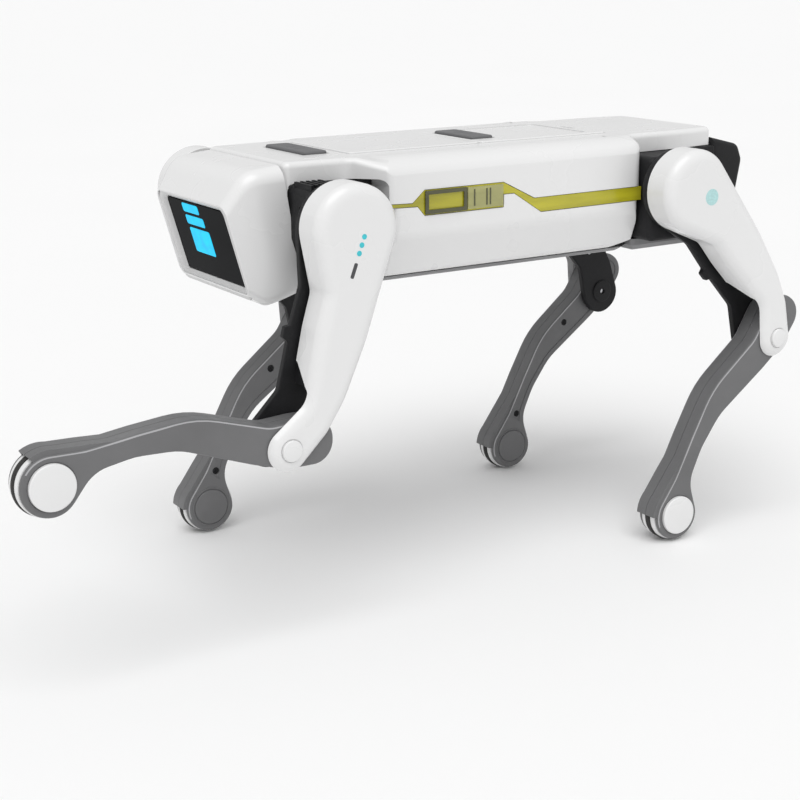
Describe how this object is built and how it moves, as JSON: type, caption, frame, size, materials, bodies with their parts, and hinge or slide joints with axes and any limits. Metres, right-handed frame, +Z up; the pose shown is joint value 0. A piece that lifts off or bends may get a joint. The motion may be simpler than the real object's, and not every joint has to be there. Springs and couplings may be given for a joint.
{
  "type": "quadruped robot dog",
  "caption": "Dog-shaped walking robot with swinging thighs, hinged shanks, roller feet, a lit screen face and push pads on its back.",
  "frame": {"origin": "on the floor under the middle of the bounding box, as the robot stands", "axes": "+X forward towards the face, +Y to the robot's left, +Z up"},
  "size_m": [0.5194, 0.21, 0.255],
  "materials": {
    "white_shell": "gloss white moulded plastic",
    "grey_trim": "satin grey plastic",
    "grey_shank": "satin grey plastic with a fine grain",
    "black_frame": "textured matte black plastic",
    "tyre_rubber": "matte rubber",
    "steel_pin": "turned steel",
    "screen_glass": "gloss black screen window",
    "tinted_strip": "tinted translucent plastic",
    "circuit_board": "circuit board",
    "battery_cells": "wrapped cells"
  },
  "bodies": {
    "trunk": {"upper_shell": "white_shell", "lower_shell": "white_shell", "head_shell": "white_shell", "face_bezel": "grey_trim", "face_lens": "screen_glass", "led_board": "circuit_board", "side_strip_left": "tinted_strip", "side_strip_right": "tinted_strip", "window_frame_left": "grey_trim", "window_frame_right": "grey_trim", "belly_plate": "grey_trim", "hip_housing_front": "black_frame", "hip_housing_rear": "black_frame", "deck_panel_front": "white_shell", "deck_panel_rear": "white_shell", "battery_pack": "battery_cells", "main_board": "circuit_board", "rear_cover": "black_frame"},
    "front_pad": {"touch_button_front": "grey_trim"},
    "back_pad": {"touch_button_back": "grey_trim"},
    "fl_thigh": {"fl_thigh_cover": "white_shell", "fl_thigh_frame": "black_frame", "fl_knee_pin": "steel_pin", "fl_knee_cap": "white_shell"},
    "fl_shank": {"fl_shank_outer": "grey_shank", "fl_shank_inner": "grey_shank", "fl_foot_axle": "steel_pin", "fl_foot_cap": "white_shell"},
    "fl_roller": {"fl_wheel": "white_shell", "fl_tyre": "tyre_rubber"},
    "fr_thigh": {"fr_thigh_cover": "white_shell", "fr_thigh_frame": "black_frame", "fr_knee_pin": "steel_pin", "fr_knee_cap": "white_shell"},
    "fr_shank": {"fr_shank_outer": "grey_shank", "fr_shank_inner": "grey_shank", "fr_foot_axle": "steel_pin", "fr_foot_cap": "white_shell"},
    "fr_roller": {"fr_wheel": "white_shell", "fr_tyre": "tyre_rubber"},
    "rl_thigh": {"rl_thigh_cover": "white_shell", "rl_thigh_frame": "black_frame", "rl_knee_pin": "steel_pin", "rl_knee_cap": "white_shell"},
    "rl_shank": {"rl_shank_outer": "grey_shank", "rl_shank_inner": "grey_shank", "rl_foot_axle": "steel_pin", "rl_foot_cap": "white_shell"},
    "rl_roller": {"rl_wheel": "white_shell", "rl_tyre": "tyre_rubber"},
    "rr_thigh": {"rr_thigh_cover": "white_shell", "rr_thigh_frame": "black_frame", "rr_knee_pin": "steel_pin", "rr_knee_cap": "white_shell"},
    "rr_shank": {"rr_shank_outer": "grey_shank", "rr_shank_inner": "grey_shank", "rr_foot_axle": "steel_pin", "rr_foot_cap": "white_shell"},
    "rr_roller": {"rr_wheel": "white_shell", "rr_tyre": "tyre_rubber"}
  },
  "joints": [
    {"name": "fl_hip", "type": "hinge", "parent": "trunk", "child": "fl_thigh", "pos_m": [0.0689, 0.0895, 0.22157], "axis": [0, -1, 0], "range_deg": [-81, 44]},
    {"name": "fl_knee", "type": "hinge", "parent": "fl_thigh", "child": "fl_shank", "pos_m": [0.11226, 0.0895, 0.10861], "axis": [0, -1, 0], "range_deg": [-50, 40]},
    {"name": "fl_wheel_spin", "type": "hinge", "parent": "fl_shank", "child": "fl_roller", "pos_m": [0.24223, 0.0895, 0.11156], "axis": [0, 1, 0], "continuous": true},
    {"name": "fr_hip", "type": "hinge", "parent": "trunk", "child": "fr_thigh", "pos_m": [0.0689, -0.0895, 0.22157], "axis": [0, -1, 0], "range_deg": [-24.6, 100.4]},
    {"name": "fr_knee", "type": "hinge", "parent": "fr_thigh", "child": "fr_shank", "pos_m": [-0.00119, -0.0895, 0.12294], "axis": [0, -1, 0], "range_deg": [-50, 40]},
    {"name": "fr_wheel_spin", "type": "hinge", "parent": "fr_shank", "child": "fr_roller", "pos_m": [0.07485, -0.0895, 0.0175], "axis": [0, 1, 0], "continuous": true},
    {"name": "rl_hip", "type": "hinge", "parent": "trunk", "child": "rl_thigh", "pos_m": [-0.1691, 0.0895, 0.22157], "axis": [0, -1, 0], "range_deg": [-44.6, 45.4]},
    {"name": "rl_knee", "type": "hinge", "parent": "rl_thigh", "child": "rl_shank", "pos_m": [-0.23919, 0.0895, 0.12294], "axis": [0, -1, 0], "range_deg": [-50, 40]},
    {"name": "rl_wheel_spin", "type": "hinge", "parent": "rl_shank", "child": "rl_roller", "pos_m": [-0.16315, 0.0895, 0.0175], "axis": [0, 1, 0], "continuous": true},
    {"name": "rr_hip", "type": "hinge", "parent": "trunk", "child": "rr_thigh", "pos_m": [-0.1691, -0.0895, 0.22157], "axis": [0, -1, 0], "range_deg": [-44.6, 45.4]},
    {"name": "rr_knee", "type": "hinge", "parent": "rr_thigh", "child": "rr_shank", "pos_m": [-0.23919, -0.0895, 0.12294], "axis": [0, -1, 0], "range_deg": [-50, 40]},
    {"name": "rr_wheel_spin", "type": "hinge", "parent": "rr_shank", "child": "rr_roller", "pos_m": [-0.16315, -0.0895, 0.0175], "axis": [0, 1, 0], "continuous": true},
    {"name": "front_pad_press", "type": "slide", "parent": "trunk", "child": "front_pad", "axis": [0, 0, -1], "range_m": [0, 0.001], "stiffness_N_per_m": 300, "springref_m": -0.0006},
    {"name": "back_pad_press", "type": "slide", "parent": "trunk", "child": "back_pad", "axis": [0, 0, -1], "range_m": [0, 0.001], "stiffness_N_per_m": 300, "springref_m": -0.0006}
  ]
}
